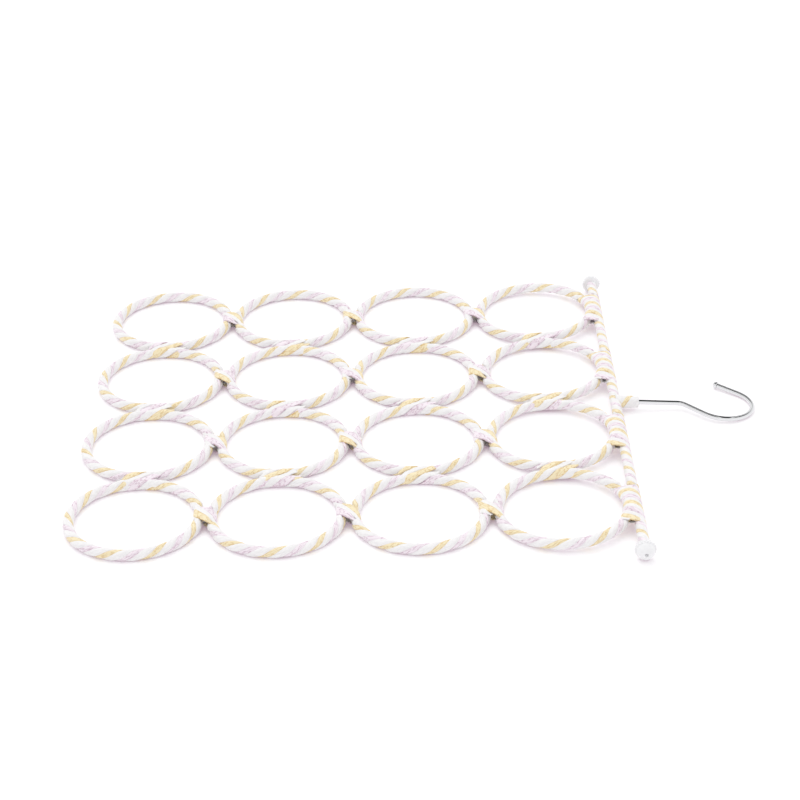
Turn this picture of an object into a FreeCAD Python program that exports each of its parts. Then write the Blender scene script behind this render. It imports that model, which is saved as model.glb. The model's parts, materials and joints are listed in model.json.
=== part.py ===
import FreeCAD, Part
import os
import Sketcher

ROWS = 4
COLUMNS = "abcd"
SIDES = 4

doc = FreeCAD.newDocument("scarf_hanger")
pieces = []

# Driving sizes in millimetres, one cell each

SIZES = {
    # net of rings
    "ring_pitch": 90.0,
    "ring_wire_radius": 1.6,
    "rope_radius": 3.6,
    "rope_gap": 0.5,
    "wrap_fit": 0.1,
    # how far along the bar the net hangs from the bar's middle
    "net_offset": 4.5,
    # lashings
    "tie_length": 20.0,
    "bar_tie_length": 38.0,
    "tie_wall": 0.5,
    "tie_end_gap": 0.4,
    "pivot_clearance": 0.3,
    # bar
    "bar_radius": 2.5,
    "bar_wrap_radius": 3.5,
    "bar_length": 370.0,
    # finials
    "finial_radius": 6.9,
    "collar_width": 3.4,
    "dome_radius": 6.4,
    "dome_rise": 5.4,
    "dimple_radius": 1.3,
    "dimple_depth": 1.6,
    "finial_grip": 5.0,
    "finial_fit": 0.1,
    # hook, measured from the bar's axis
    "hook_wire_radius": 1.7,
    "hook_reach": 74.0,
    "hook_radius": 20.0,
    "bend_radius": 8.0,
    "tip_run": 18.0,
    "tip_ball_radius": 2.3,
    "head_radius": 2.4,
    "head_length": 2.5,
    # socket and its wrap, measured from the bar's axis
    "socket_radius": 3.3,
    "socket_reach": 14.5,
    "socket_wall": 3.0,
    "swivel_clearance": 0.25,
    "neck_reach": 15.5,
    "neck_radius": 4.9,
    "neck_end_radius": 4.2,
    # overrun of every cut
    "overrun": 1.0,
}

# Angles in degrees, kept beside the lengths: how far a ring rolls in its lashing on the bar, and the hook's bends
ANGLES = {
    "bar_roll": 15.0,
    "bend_angle": 45.0,
    "tip_angle": 50.0,
}

dims = doc.addObject("Spreadsheet::Sheet", "dims")
for line, (alias, size) in enumerate({**SIZES, **ANGLES}.items(), 1):
    dims.set(f"A{line}", alias)
    dims.set(f"B{line}", str(size))
    dims.setAlias(f"B{line}", alias)
doc.recompute()

# Values worked out from the driving sizes

derived = doc.addObject("App::VarSet", "derived")


def derive(name, expression, kind="App::PropertyFloat"):
    derived.addProperty(kind, name)
    derived.setExpression(name, expression)
    doc.recompute()


def flare(half_length):
    """Radius of a hole in which the ring's curve can turn about its tangent."""
    waist = "(derived.ring_radius - derived.throat_radius)"
    return f"derived.ring_radius - sqrt({waist}^2 - ({half_length})^2)"


derive("tube_step", "2 * dims.rope_radius + dims.rope_gap")
derive("ring_radius", "(dims.ring_pitch - derived.tube_step) / 2")
derive("ring_width", "2 * derived.ring_radius")
derive("throat_radius", "dims.ring_wire_radius + dims.pivot_clearance")
derive("tie_flare", flare("dims.tie_length / 2"))
derive("tie_radius", "derived.tie_flare + dims.tie_wall")
derive("bar_bore", "dims.bar_radius + dims.pivot_clearance")
derive("bar_step", "dims.bar_radius + dims.ring_wire_radius + dims.rope_gap")
derive("bar_tie_bend", "derived.ring_radius - sqrt(derived.ring_radius^2 - (dims.bar_tie_length / 2)^2)")
rolled = "derived.throat_radius + derived.bar_tie_bend * sin(dims.bar_roll * 1deg)"
derive("bar_tie_bore", f"max(derived.bar_bore; {rolled})")
derive("bar_tie_radius", "derived.bar_tie_bore + dims.tie_wall")

# The wrap of a ring stops where a lashing sits on one of its sides
derive("half_side", f"360 deg / {2 * SIDES}", "App::PropertyAngle")
inner_side = "(derived.ring_radius - dims.rope_radius)"
derive("tie_angle", f"asin((dims.tie_length / 2 + dims.tie_end_gap) / {inner_side})", "App::PropertyAngle")
derive("bar_tie_angle", f"asin((dims.bar_tie_length / 2 + dims.tie_end_gap) / {inner_side})", "App::PropertyAngle")

# The net lies on its ropes and lashings, the bar on its finials or its own lashings, so the first row slopes
derive("net_height", "max(derived.tie_radius; dims.rope_radius)")
derive("bar_height", "max(dims.finial_radius; derived.bar_tie_radius + dims.rope_gap)")
derive("first_row_run", "derived.bar_step + derived.ring_width")
derive("row_drop", "derived.bar_height - derived.net_height")
derive("row_slope", "asin(derived.row_drop / derived.first_row_run)", "App::PropertyAngle")
derive("first_row_reach", "derived.first_row_run * cos(derived.row_slope)")

# The hook leans until its far end rests on the floor
derive("hook_end", "dims.hook_reach + dims.hook_radius")
derive("hook_drop", "derived.bar_height - dims.hook_wire_radius")
derive("hook_lean", "asin(derived.hook_drop / derived.hook_end)", "App::PropertyAngle")

# The origin lies on the floor under the middle of the hanger
derive("net_end", f"derived.first_row_reach + {ROWS - 1} * dims.ring_pitch + dims.rope_radius")
derive("hook_tip_end", "derived.hook_end * cos(derived.hook_lean) + dims.hook_wire_radius")
derive("bar_x", "(derived.net_end - derived.hook_tip_end) / 2")


def value(expression):
    result = derived.evalExpression(expression)
    return float(getattr(result, "Value", result))


# Helpers for placing and drawing


def place(item, x, y, z, turn="0", slope="0"):
    """Turn about Z, then slope about Y, then move."""
    base = f"vector({x}; {y}; {z})"
    spin = f"rotation(vector(0; 1; 0); {slope}) * rotation(vector(0; 0; 1); {turn})"
    item.setExpression("Placement", f"placement({base}; {spin})")


def along(item, axis, x, y, z):
    """Stand a solid of revolution along X or Y."""
    turned = {"x": ("0; 1; 0", "90"), "y": ("1; 0; 0", "-90")}[axis]
    base = f"vector({x}; {y}; {z})"
    item.setExpression("Placement", f"placement({base}; rotation(vector({turned[0]}); {turned[1]}))")


def keep(item, label):
    item.Label = label
    pieces.append(item)
    return item


def primitive(kind, name, **sizes):
    item = doc.addObject(kind, name)
    for key, expression in sizes.items():
        item.setExpression(key, expression)
    return item


def cut(name, base, *tools):
    """Take each tool out of the base."""
    tool = tools[0]
    if len(tools) > 1:
        tool = doc.addObject("Part::Compound", f"{name}_cutters")
        tool.Links = list(tools)
    item = doc.addObject("Part::Cut", name)
    item.Base = base
    item.Tool = tool
    return item


def plane(body, role):
    return next(item for item in body.Origin.OriginFeatures if item.Role == role)


def new_sketch(body, name, role):
    sketch = body.newObject("Sketcher::SketchObject", name)
    sketch.AttachmentSupport = (plane(body, role), [""])
    sketch.MapMode = "FlatFace"
    return sketch


def bind(sketch, constraint, expression):
    """Add one constraint whose size follows an expression."""
    index = sketch.addConstraint(constraint)
    sketch.setExpression(f"Constraints[{index}]", expression)


def pin(sketch, edge, end, x, y):
    """Fix one end of an edge by its coordinates."""
    bind(sketch, Sketcher.Constraint("DistanceX", -1, 1, edge, end, value(x)), x)
    bind(sketch, Sketcher.Constraint("DistanceY", -1, 1, edge, end, value(y)), y)


def centre_arc(sketch, edge, chord, x, y):
    """Fix an arc between fixed ends by its centre's coordinate across the chord."""
    if abs(chord.y) > abs(chord.x):
        bind(sketch, Sketcher.Constraint("DistanceX", -1, 1, edge, 3, value(x)), x)
    else:
        bind(sketch, Sketcher.Constraint("DistanceY", -1, 1, edge, 3, value(y)), y)


def draw(sketch, corners, arcs=None, closed=True):
    """Join corners by lines, or by arcs given as {edge: (centre x, centre y, radius, forward)}."""
    arcs = arcs or {}
    spots = [FreeCAD.Vector(value(x), value(y), 0) for x, y in corners]
    count = len(corners) if closed else len(corners) - 1
    ends = []
    for edge in range(count):
        start = spots[edge]
        stop = spots[(edge + 1) % len(spots)]
        if edge not in arcs:
            sketch.addGeometry(Part.LineSegment(start, stop))
            ends.append((1, 2))
            continue
        centre_x, centre_y, radius, forward = arcs[edge]
        centre = FreeCAD.Vector(value(centre_x), value(centre_y), 0)
        circle = Part.Circle(centre, FreeCAD.Vector(0, 0, 1), value(radius))
        first, last = (start, stop) if forward else (stop, start)
        sketch.addGeometry(Part.ArcOfCircle(circle, circle.parameter(first), circle.parameter(last)))
        ends.append((1, 2) if forward else (2, 1))
    for edge in range(count):
        following = (edge + 1) % count
        if closed or edge + 1 < count:
            joint = (edge, ends[edge][1], following, ends[following][0])
            sketch.addConstraint(Sketcher.Constraint("Coincident", *joint))
        pin(sketch, edge, ends[edge][0], *corners[edge])
        if edge in arcs:
            centre_arc(sketch, edge, spots[(edge + 1) % len(spots)] - spots[edge], *arcs[edge][:2])
    if not closed:
        pin(sketch, count - 1, ends[-1][1], *corners[-1])


def circle_sketch(body, name, role, radius):
    sketch = new_sketch(body, name, role)
    sketch.addGeometry(Part.Circle(FreeCAD.Vector(), FreeCAD.Vector(0, 0, 1), value(radius)))
    pin(sketch, 0, 3, "0", "0")
    bind(sketch, Sketcher.Constraint("Radius", 0, value(radius)), radius)
    return sketch


def axis_line(sketch, x, reach):
    """Construction line along the sketch's Y, to turn a profile about."""
    low = FreeCAD.Vector(value(x), -value(reach), 0)
    high = FreeCAD.Vector(value(x), value(reach), 0)
    edge = sketch.addGeometry(Part.LineSegment(low, high), True)
    pin(sketch, edge, 1, x, f"-({reach})")
    pin(sketch, edge, 2, x, reach)


def extrude(body, kind, sketch, length):
    """Pad or pocket to both sides of the sketch's plane."""
    feature = body.newObject(kind, f"{sketch.Name}_{kind[-6:].lower()}")
    feature.Profile = sketch
    feature.Midplane = True
    feature.setExpression("Length", length)
    return feature


# Lashings: a sleeve round two wires that run along Y, hollow between them


def ring_hole(body, name, x, length, flared):
    """Waisted hole in which a ring's curve turns about its tangent at x."""
    half = f"({length} / 2)"
    sketch = new_sketch(body, name, "XY_Plane")
    rim = f"{x} + {flared}"
    waist = (f"{x} + derived.ring_radius", "0", "derived.ring_radius - derived.throat_radius", True)
    draw(sketch, [(x, f"-{half}"), (x, half), (rim, half), (rim, f"-{half}")], {2: waist})
    axis_line(sketch, x, half)
    groove = body.newObject("PartDesign::Groove", f"{name}_groove")
    groove.Profile = sketch
    groove.ReferenceAxis = (sketch, ["Axis0"])
    groove.Angle = 360


def hollow_between(body, name, step, length, flared):
    """Waisted passage from one wire to the other."""
    half = f"({length} / 2)"
    sketch = new_sketch(body, name, "YZ_Plane")
    radius = "derived.ring_radius - derived.throat_radius"
    corners = [(half, f"-({flared})"), (half, flared), (f"-{half}", flared), (f"-{half}", f"-({flared})")]
    upper = ("0", "derived.ring_radius", radius, False)
    lower = ("0", "-derived.ring_radius", radius, False)
    draw(sketch, corners, {1: upper, 3: lower})
    extrude(body, "PartDesign::Pocket", sketch, step)


def sleeve(body, name, left, right, radius, length, kind="PartDesign::Pad"):
    """Outside or hollow of a lashing: a long round shape about both wires."""
    sketch = new_sketch(body, name, "XZ_Plane")
    corners = [(left, f"-{radius}"), (right, f"-{radius}"), (right, radius), (left, radius)]
    arcs = {1: (right, "0", radius, True), 3: (left, "0", radius, True)}
    draw(sketch, corners, arcs)
    extrude(body, kind, sketch, length)


def ring_tie():
    """Lashing between two rings, centred between their wires."""
    body = doc.addObject("PartDesign::Body", "ring_tie")
    left, right = "-derived.tube_step / 2", "derived.tube_step / 2"
    length = "dims.tie_length"
    sleeve(body, "tie_outside", left, right, "derived.tie_radius", length)
    ring_hole(body, "tie_right_hole", right, length, "derived.tie_flare")
    ring_hole(body, "tie_left_hole", left, length, "derived.tie_flare")
    hollow_between(body, "tie_hollow", "derived.tube_step", length, "derived.tie_flare")
    return body


def bar_tie():
    """Lashing round the bar, at the origin, and the curve of a ring of the first row."""
    body = doc.addObject("PartDesign::Body", "bar_tie")
    ring = "-(derived.bar_step + derived.bar_tie_bend)"
    length = "dims.bar_tie_length"
    sleeve(body, "bar_tie_outside", ring, "0", "derived.bar_tie_radius", length)
    through = f"{length} + 2 * dims.overrun"
    sleeve(body, "bar_tie_hollow", ring, "0", "derived.bar_tie_bore", through, "PartDesign::Pocket")
    return body


def copy_of(source, name):
    item = doc.addObject("Part::Compound", name)
    item.Links = [source]
    return item


# Places of rows and columns


def column_y(column):
    return f"({column} - {len(COLUMNS) - 1} / 2) * dims.ring_pitch + dims.net_offset"


def place_in_row(item, row, distance, y, turn="0"):
    """Place by the distance from the bar's axis, measured along the rows as they lie."""
    if row == 1:
        x = f"derived.bar_x - ({distance}) * cos(derived.row_slope)"
        z = f"derived.bar_height - ({distance}) * sin(derived.row_slope)"
        place(item, x, y, z, turn, "-derived.row_slope")
        return
    past_first = f"({distance} - derived.first_row_run)"
    place(item, f"derived.bar_x - derived.first_row_reach - {past_first}", y, "derived.net_height", turn)


def ring_distance(row):
    return f"derived.bar_step + derived.ring_radius + {row - 1} * dims.ring_pitch"


def tie_distance(row):
    return f"derived.first_row_run + derived.tube_step / 2 + {row - 2} * dims.ring_pitch"


# Rings: a closed wire, and its wrap in lengths that leave room for the lashings


def wrap_length(name, bore, gap):
    """Tube from the end of a lashing half-way round to the next side of the ring."""
    rope = primitive(
        "Part::Torus",
        f"{name}_rope",
        Radius1="derived.ring_radius",
        Radius2="dims.rope_radius",
        Angle3=f"derived.half_side - {gap}",
    )
    return cut(name, rope, bore)


def lengths_at(master, side, gap, name):
    """The two lengths that end at one side of the ring."""
    middle = f"{side} * 2 * derived.half_side"
    before = copy_of(master, f"{name}_before_{side}")
    place(before, "0", "0", "0", f"{middle} - derived.half_side")
    after = copy_of(master, f"{name}_after_{side}")
    place(after, "0", "0", "0", f"{middle} + {gap}")
    return [before, after]


def make_rings():
    hole = "dims.ring_wire_radius + dims.wrap_fit"
    bore = primitive("Part::Torus", "rope_bore", Radius1="derived.ring_radius", Radius2=hole)
    gaps = {"free": "0 deg", "tied": "derived.tie_angle", "barred": "derived.bar_tie_angle"}
    lengths = {}
    for name, gap in gaps.items():
        master = wrap_length(f"wrap_{name}", bore, gap)
        for side in range(SIDES):
            lengths[name, side] = lengths_at(master, side, gap, f"wrap_{name}")
    for row in range(1, ROWS + 1):
        for column, letter in enumerate(COLUMNS):
            tag = f"{row}{letter}"
            wire = primitive(
                "Part::Torus",
                f"ring_wire_{tag}",
                Radius1="derived.ring_radius",
                Radius2="dims.ring_wire_radius",
            )
            near = "barred" if row == 1 else "tied"
            back = "tied" if column < len(COLUMNS) - 1 else "free"
            far = "tied" if row < ROWS else "free"
            front = "tied" if column > 0 else "free"
            wrap = doc.addObject("Part::Compound", f"ring_wrap_{tag}")
            wrap.Links = [item for side, name in enumerate((near, back, far, front)) for item in lengths[name, side]]
            for item in (wire, wrap):
                place_in_row(item, row, ring_distance(row), column_y(column))
                keep(item, item.Name)


def make_ties():
    master = ring_tie()
    bar_master = bar_tie()
    for column, letter in enumerate(COLUMNS):
        item = copy_of(bar_master, f"bar_tie_{letter}")
        place_in_row(item, 1, "0", column_y(column))
        keep(item, item.Name)
    for row in range(2, ROWS + 1):
        for column, letter in enumerate(COLUMNS):
            item = copy_of(master, f"row_tie_{row}{letter}")
            place_in_row(item, row, tie_distance(row), column_y(column))
            keep(item, item.Name)
    # the lashings between the rings of one row lie side by side, a pitch apart
    beside = []
    for column in range(len(COLUMNS) - 1):
        item = copy_of(master, f"side_tie_{column + 1}")
        place(item, "0", f"({column_y(column)}) + dims.ring_pitch / 2", "0", "90")
        beside.append(item)
    for row in range(1, ROWS + 1):
        item = doc.addObject("Part::Compound", f"side_ties_{row}")
        item.Links = beside
        place_in_row(item, row, ring_distance(row), "0")
        keep(item, item.Name)


# Bar: a rod, its wrap and a finial at each end


def bar_cylinder(name, radius, length):
    item = primitive("Part::Cylinder", name, Radius=radius, Height=length)
    along(item, "y", "0", f"-({length}) / 2", "0")
    return item


def on_bar(item, slope="0"):
    place(item, "derived.bar_x", "0", "derived.bar_height", "0", slope)


def make_bar():
    rod = primitive("Part::Cylinder", "bar_rod", Radius="dims.bar_radius", Height="dims.bar_length")
    along(rod, "y", "derived.bar_x", "-dims.bar_length / 2", "derived.bar_height")
    keep(rod, "bar_rod")

    length = "(dims.bar_length - 2 * dims.finial_grip - 2 * dims.wrap_fit)"
    outside = bar_cylinder("bar_wrap_outside", "dims.bar_wrap_radius", length)
    bore = bar_cylinder("bar_wrap_bore", "dims.bar_radius + dims.wrap_fit", f"{length} + 2 * dims.overrun")
    reach = "(dims.bar_wrap_radius + dims.overrun)"
    half = "(dims.bar_tie_length / 2 + dims.tie_end_gap)"
    slots = []
    for column, letter in enumerate(COLUMNS):
        slot = primitive(
            "Part::Box",
            f"bar_slot_{letter}",
            Length=f"2 * {reach}",
            Width=f"2 * {half}",
            Height=f"2 * {reach}",
        )
        place(slot, f"-{reach}", f"{column_y(column)} - {half}", f"-{reach}")
        slots.append(slot)
    opening = primitive(
        "Part::Cylinder",
        "bar_wrap_opening",
        Radius="dims.socket_radius + dims.wrap_fit",
        Height="dims.socket_reach",
    )
    along(opening, "x", "0", "0", "0")
    wrap = cut("bar_wrap", outside, bore, opening, *slots)
    on_bar(wrap, "derived.hook_lean")
    keep(wrap, "bar_wrap")


def finial(name, y, turn):
    """End cap turned about the bar's axis: socket, collar, dome and dimple."""
    body = doc.addObject("PartDesign::Body", name)
    sketch = new_sketch(body, f"{name}_profile", "XY_Plane")
    bore = "dims.bar_radius + dims.finial_fit"
    depth = "dims.finial_grip + dims.finial_fit"
    ball = "((dims.dome_radius^2 + dims.dome_rise^2) / (2 * dims.dome_rise))"
    centre = f"(dims.collar_width + dims.dome_rise - {ball})"
    rim = f"({centre} + sqrt({ball}^2 - dims.dimple_radius^2))"
    floor = f"{rim} - dims.dimple_depth"
    corners = [
        (bore, "0"),
        ("dims.finial_radius", "0"),
        ("dims.finial_radius", "dims.collar_width"),
        ("dims.dome_radius", "dims.collar_width"),
        ("dims.dimple_radius", rim),
        ("dims.dimple_radius", floor),
        ("0", floor),
        ("0", depth),
        (bore, depth),
    ]
    draw(sketch, corners, {3: ("0", centre, ball, True)})
    turned = body.newObject("PartDesign::Revolution", f"{name}_turned")
    turned.Profile = sketch
    turned.ReferenceAxis = (sketch, ["V_Axis"])
    turned.Angle = 360
    place(body, "derived.bar_x", y, "derived.bar_height", turn)
    keep(body, name)


def make_finials():
    seat = "(dims.bar_length / 2 - dims.finial_grip)"
    finial("finial_front", f"-{seat}", "180")
    finial("finial_back", seat, "0")


# Hook: headed stem, two bends and a ball at the tip, drawn in its own plane


def make_hook():
    body = doc.addObject("PartDesign::Body", "hook")
    head_face = "(dims.socket_reach - dims.socket_wall - dims.swivel_clearance)"
    start = f"({head_face} - dims.head_length)"
    bend = "dims.bend_angle * 1deg"
    tip = "dims.tip_angle * 1deg"
    drop = f"(dims.bend_radius * (1 - cos({bend})))"
    slant = f"((dims.hook_radius * cos({bend}) - {drop}) / sin({bend}))"
    round_x = f"(dims.hook_reach - dims.hook_radius * sin({bend}))"
    round_y = f"-(dims.hook_radius * cos({bend}))"
    slant_x = f"({round_x} - {slant} * cos({bend}))"
    bend_x = f"({slant_x} - dims.bend_radius * sin({bend}))"
    end_x = f"(dims.hook_reach + dims.hook_radius * cos({tip}))"
    end_y = f"(dims.hook_radius * sin({tip}))"
    tip_x = f"({end_x} - dims.tip_run * sin({tip}))"
    tip_y = f"({end_y} + dims.tip_run * cos({tip}))"
    route = new_sketch(body, "hook_route", "XY_Plane")
    corners = [
        (start, "0"),
        (bend_x, "0"),
        (slant_x, f"-{drop}"),
        (round_x, round_y),
        (end_x, end_y),
        (tip_x, tip_y),
    ]
    arcs = {
        1: (bend_x, "-dims.bend_radius", "dims.bend_radius", False),
        3: ("dims.hook_reach", "0", "dims.hook_radius", True),
    }
    draw(route, corners, arcs, closed=False)
    section = circle_sketch(body, "hook_section", "YZ_Plane", "dims.hook_wire_radius")
    section.setExpression("AttachmentOffset.Base.z", start)
    doc.recompute()
    wire = body.newObject("PartDesign::AdditivePipe", "hook_wire")
    wire.Profile = section
    wire.Spine = (route, [f"Edge{edge + 1}" for edge in range(len(corners) - 1)])
    head_sketch = circle_sketch(body, "hook_head_outline", "YZ_Plane", "dims.head_radius")
    head_sketch.setExpression("AttachmentOffset.Base.z", start)
    doc.recompute()
    head = body.newObject("PartDesign::Pad", "hook_head")
    head.Profile = head_sketch
    head.setExpression("Length", "dims.head_length")
    ball = body.newObject("PartDesign::AdditiveSphere", "hook_ball")
    ball.setExpression("Radius", "dims.tip_ball_radius")
    ball.AttachmentSupport = (plane(body, "XY_Plane"), [""])
    ball.MapMode = "FlatFace"
    ball.setExpression("AttachmentOffset.Base.x", tip_x)
    ball.setExpression("AttachmentOffset.Base.y", tip_y)
    on_bar(body, "derived.hook_lean")
    keep(body, "hook")


def hook_cylinder(name, radius, start, length):
    item = primitive("Part::Cylinder", name, Radius=radius, Height=length)
    along(item, "x", start, "0", "0")
    return item


def make_socket():
    """Tube coped to the rod, with a chamber for the stem's head."""
    outside = hook_cylinder("socket_outside", "dims.socket_radius", "0", "dims.socket_reach")
    rod = bar_cylinder("socket_cope", "dims.bar_radius + dims.wrap_fit", "4 * dims.socket_radius")
    past_end = "dims.socket_wall + 2 * dims.overrun"
    bore = hook_cylinder(
        "socket_bore",
        "dims.hook_wire_radius + dims.swivel_clearance",
        "dims.socket_reach - dims.socket_wall - dims.overrun",
        past_end,
    )
    chamber_length = "(dims.head_length + 2 * dims.swivel_clearance)"
    chamber = hook_cylinder(
        "socket_chamber",
        "dims.head_radius + dims.swivel_clearance",
        f"dims.socket_reach - dims.socket_wall - {chamber_length}",
        chamber_length,
    )
    socket = cut("hook_socket", outside, rod, bore, chamber)
    on_bar(socket, "derived.hook_lean")
    keep(socket, "hook_socket")


def make_neck_wrap():
    """Ribbon wound over the socket, seated on the bar's wrap."""
    outside = primitive(
        "Part::Cone",
        "neck_outside",
        Radius1="dims.neck_radius",
        Radius2="dims.neck_end_radius",
        Height="dims.neck_reach",
    )
    along(outside, "x", "0", "0", "0")
    bore = hook_cylinder(
        "neck_bore",
        "dims.socket_radius + dims.wrap_fit",
        "-dims.overrun",
        "dims.neck_reach + 2 * dims.overrun",
    )
    seat = bar_cylinder("neck_seat", "dims.bar_wrap_radius + dims.wrap_fit", "4 * dims.neck_radius")
    wrap = cut("hook_neck_wrap", outside, bore, seat)
    on_bar(wrap, "derived.hook_lean")
    keep(wrap, "hook_neck_wrap")


make_rings()
make_ties()
make_bar()
make_finials()
make_hook()
make_socket()
make_neck_wrap()
doc.recompute()

for item in doc.Objects:
    if "Invalid" in item.State or "Error" in item.State:
        raise RuntimeError(f"{item.Label} failed: {item.State}")
for item in pieces:
    if item.Shape.isNull() or not item.Shape.isValid():
        raise RuntimeError(f"{item.Label} has no valid shape")

os.makedirs("parts", exist_ok=True)
for item in pieces:
    item.Shape.exportStep(f"parts/{item.Label}.step")
    print(item.Label, len(item.Shape.Solids), round(item.Shape.Volume, 1))
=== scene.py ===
"""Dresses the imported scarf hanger: ribbon windings, lashings, end caps, metal finishes and the stage."""
import json
from math import asin, ceil, cos, pi, radians, sin, sqrt, tau

import bmesh
import bpy
from bpy.props import FloatProperty, FloatVectorProperty, IntProperty, PointerProperty
from mathutils import Matrix, Vector


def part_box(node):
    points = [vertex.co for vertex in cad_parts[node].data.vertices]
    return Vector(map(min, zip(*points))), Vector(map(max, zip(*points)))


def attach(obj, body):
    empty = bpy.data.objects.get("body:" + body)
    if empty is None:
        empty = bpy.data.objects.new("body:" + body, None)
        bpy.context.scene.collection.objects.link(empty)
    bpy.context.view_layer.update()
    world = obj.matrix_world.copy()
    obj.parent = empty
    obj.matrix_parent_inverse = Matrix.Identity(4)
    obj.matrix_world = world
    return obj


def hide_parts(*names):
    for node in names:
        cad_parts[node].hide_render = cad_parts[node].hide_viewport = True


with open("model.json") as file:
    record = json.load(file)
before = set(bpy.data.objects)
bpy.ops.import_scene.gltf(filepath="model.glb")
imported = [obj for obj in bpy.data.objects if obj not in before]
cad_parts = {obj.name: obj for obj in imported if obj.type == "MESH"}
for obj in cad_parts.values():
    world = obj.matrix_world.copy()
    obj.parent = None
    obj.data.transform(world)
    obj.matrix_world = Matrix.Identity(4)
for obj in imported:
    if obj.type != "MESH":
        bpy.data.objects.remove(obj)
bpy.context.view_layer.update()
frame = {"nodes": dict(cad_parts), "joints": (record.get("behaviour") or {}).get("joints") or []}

bl_info = {
    "name": "Scarf Hanger Dressing",
    "version": (1, 0, 0),
    "blender": (4, 5, 0),
    "location": "3D View > Sidebar > Scarf Hanger",
    "description": "Winds ribbons on a scarf hanger's rings and bar, caps the bar and finishes the hook",
    "category": "Object",
}

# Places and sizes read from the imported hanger
MM = 0.001
ROWS = (1, 2, 3, 4)
COLUMNS = "abcd"
JOINTS = {joint["name"]: Vector(joint["pos_m"]) for joint in frame["joints"]}
SWIVEL_AXIS = Vector(next(j["axis"] for j in frame["joints"] if j["name"] == "hook_swivel"))


def box_middle(node):
    """The middle of a node's box."""
    low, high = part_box(node)
    return (low + high) / 2


def box_size(node):
    """The lengths of a node's box."""
    low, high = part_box(node)
    return high - low


WIRE_RADIUS = box_size("ring_wire_2a").z / 2
RING_RADIUS = box_size("ring_wire_2a").y / 2 - WIRE_RADIUS
ROPE_RADIUS = box_size("ring_wrap_2a").z / 2
BAR_WRAP_RADIUS = box_size("bar_wrap").z / 2
RING_Y = [box_middle(f"ring_wire_2{column}").y for column in COLUMNS]
SIDE_TIE_Y = [(near + far) / 2 for near, far in zip(RING_Y, RING_Y[1:])]
ALONG_BAR = Vector((0, 1, 0))
UPRIGHT = Vector((0, 0, 1))

# How far the ropes run on under the lashings, how much they are squeezed there and over what length
TUCK = 3.5 * MM
ROPE_SQUEEZE = 0.55 * MM
BAR_SQUEEZE = 0.5 * MM
SQUEEZE_RUN = 1.2 * MM

# Spacing of the points on the paths of the windings
RING_STEP = 0.75 * MM
LASHING_STEP = 0.5 * MM
BAR_STEP = 0.32 * MM
BAR_LASHING_STEP = 0.22 * MM
NECK_STEP = 0.25 * MM

# How far the lashings stand out of the ropes, and how much of the rings' bend they follow
ROW_PROUD = 0.1 * MM
SIDE_PROUD = 0.25 * MM
BAR_PROUD = 0.15 * MM
ROW_FOLLOW = 0.7
BAR_FOLLOW = 0.45

# Turns by which the colours start further on from row to row, and from place to place in a row
RING_ROW_TURN = 0.37
RING_COLUMN_TURN = 0.61
SIDE_ROW_TURN = 0.13
SIDE_COLUMN_TURN = 0.2
LASHING_START = 0.14
LASHING_SWAP = 0.25
LASHING_STRAY = 0.04
PAIR_TURN = 0.5
PAIR_STRAY = 0.06

# The neck's ribbon, how much the neck narrows, and how far the ribbon runs past both its ends
NECK_RIBBON = 4.6 * MM
NECK_THICKNESS = 1.0 * MM
NECK_TAPER = 0.7 * MM
NECK_SPARE = 2.5 * MM
NECK_START = -0.09

# The end caps' collar, bore and dimple, and the sides and steps of their round shapes
COLLAR = 3.4 * MM
BORE = 2.6 * MM
DIMPLE = 1.35 * MM
DIMPLE_DEPTH = 2.4 * MM
RIB_LENGTH = COLLAR * 0.92
CAP_SIDES = 66
DOME_STEPS = 14

# Unevenness of a winding: how fast drift, swelling, breadth and creases change along a ribbon, how far apart
# the patterns of neighbouring ribbons lie, and how strong they are
DRIFT_RATE, SWELL_RATE, BREADTH_RATE, CREASE_RATE = 60.0, 130.0, 110.0, 130.0
DRIFT_STEP, SWELL_STEP, BREADTH_STEP, CREASE_STEP = 7.3, 3.1, 5.7, 11.0
SWELL_DEPTH = 0.15 * MM
BREADTH_SPREAD = 0.16
CREASE_BREADTH = 1.7
BELLY_LOSS = 0.7
SECTION_POINTS = 14

# Patterns on a ribbon: how fast they change along and across it, how far those of neighbouring ribbons lie
# apart, how sharp fold lines and edges are, and the shares of all of them in the ribbon's darkening and
# height;
# the darkening along fold lines and edges is painted shade, while the streaks and fibres are the ribbon's
# own tone
STREAK, FOLD, FIBRE = (90.0, 3.2), (170.0, 1.5), (260.0, 16.0)
LANE_SHIFT = 4.7
FOLD_SHARPNESS = 9.0
EDGE_SHARPNESS = 6.0
SHADE_SHARES = (0.35, 0.75, 0.6, 0.12)
HEIGHT_SHARES = (0.5, -0.6, 0.2)
WEAR_SHARES = (0.6, 0.4)


def srgb(red, green, blue):
    """A display colour, 0 to 255, as the linear colour that shaders take."""
    shares = [value / 255 for value in (red, green, blue)]
    return [s / 12.92 if s <= 0.04045 else ((s + 0.055) / 1.055) ** 2.4 for s in shares]


# The unlit ceiling of the studio, seen only in reflections: its direction, the cosine of its half angle, the
# spacing, shift and half width of the bright strips across it, how sharp its edges are and how dark it is
DARK_SIDE = (0.0, 0.26, 0.966)
DARK_EDGE = 0.62
STRIP_SPACING = 0.46
STRIP_SHIFT = 0.15
STRIP_HALF = 0.09
DARK_RATE = 7.0
STRIP_RATE = 25.0
DARK_DEPTH = 0.97

# The key light's spread and tilt
KEY_SPREAD = radians(48)
KEY_TILT = (radians(-24), radians(-10), 0)

# The floor's half width, the colour that its shadows show, and its glow, which makes it white outside them
FLOOR_REACH = 6.0
FLOOR_SHADE = (0.64, 0.62, 0.64, 1.0)
FLOOR_GLOW = 0.45

# Painted shade in narrow places on the floor, a rosy dimming of its glow: how far it looks for what covers a
# place, how open a place is where it begins, how fast it deepens, and how much red, green and blue lose
# where it is deepest
NOOK_REACH = 20 * MM
NOOK_OPEN = 0.52
NOOK_RATE = 2.4
NOOK_LOSS = (0.4, 0.58, 0.48)


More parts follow.
